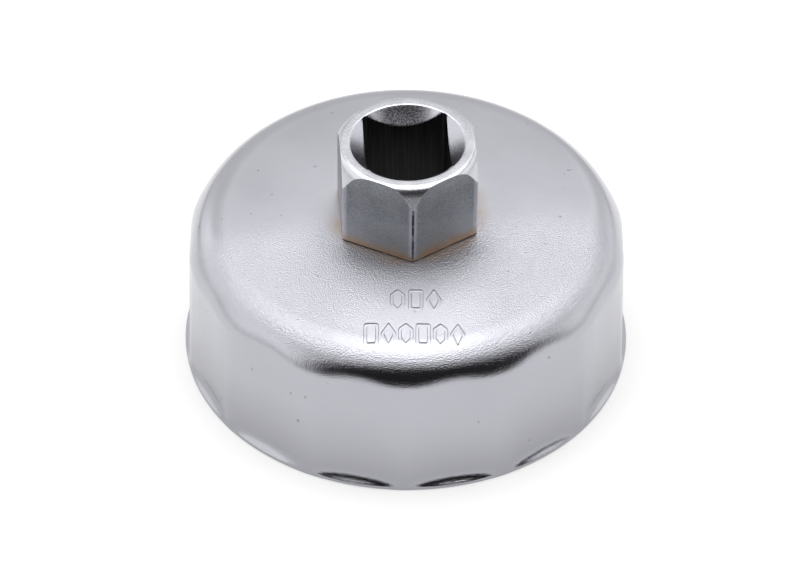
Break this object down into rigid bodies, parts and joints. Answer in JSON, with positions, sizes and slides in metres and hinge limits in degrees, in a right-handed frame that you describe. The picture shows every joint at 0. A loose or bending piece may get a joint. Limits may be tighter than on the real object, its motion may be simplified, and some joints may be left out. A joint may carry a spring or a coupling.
{
  "type": "oil filter cap wrench",
  "caption": "Fluted steel cup that fits over the end of a spin-on oil filter, with a hexagonal boss on top that takes a square drive.",
  "frame": {"origin": "centre of the mouth, in the plane of the rim that the wrench stands on", "axes": "+Z out of the mouth plane, through the crown, to the drive boss; the sides of the square drive hole are parallel to X and Y"},
  "size_m": [0.0692, 0.0692, 0.0401],
  "materials": {
    "plated_sheet": "satin nickel-chrome plate over fine-blasted deep-drawn steel",
    "plated_forging": "satin nickel-chrome plate over forged steel, with heat tint at the foot",
    "weld_metal": "heat-tinted weld metal"
  },
  "bodies": {
    "root": {"cup_shell": "plated_sheet", "drive_boss": "plated_forging", "weld_bead": "weld_metal"}
  },
  "joints": []
}
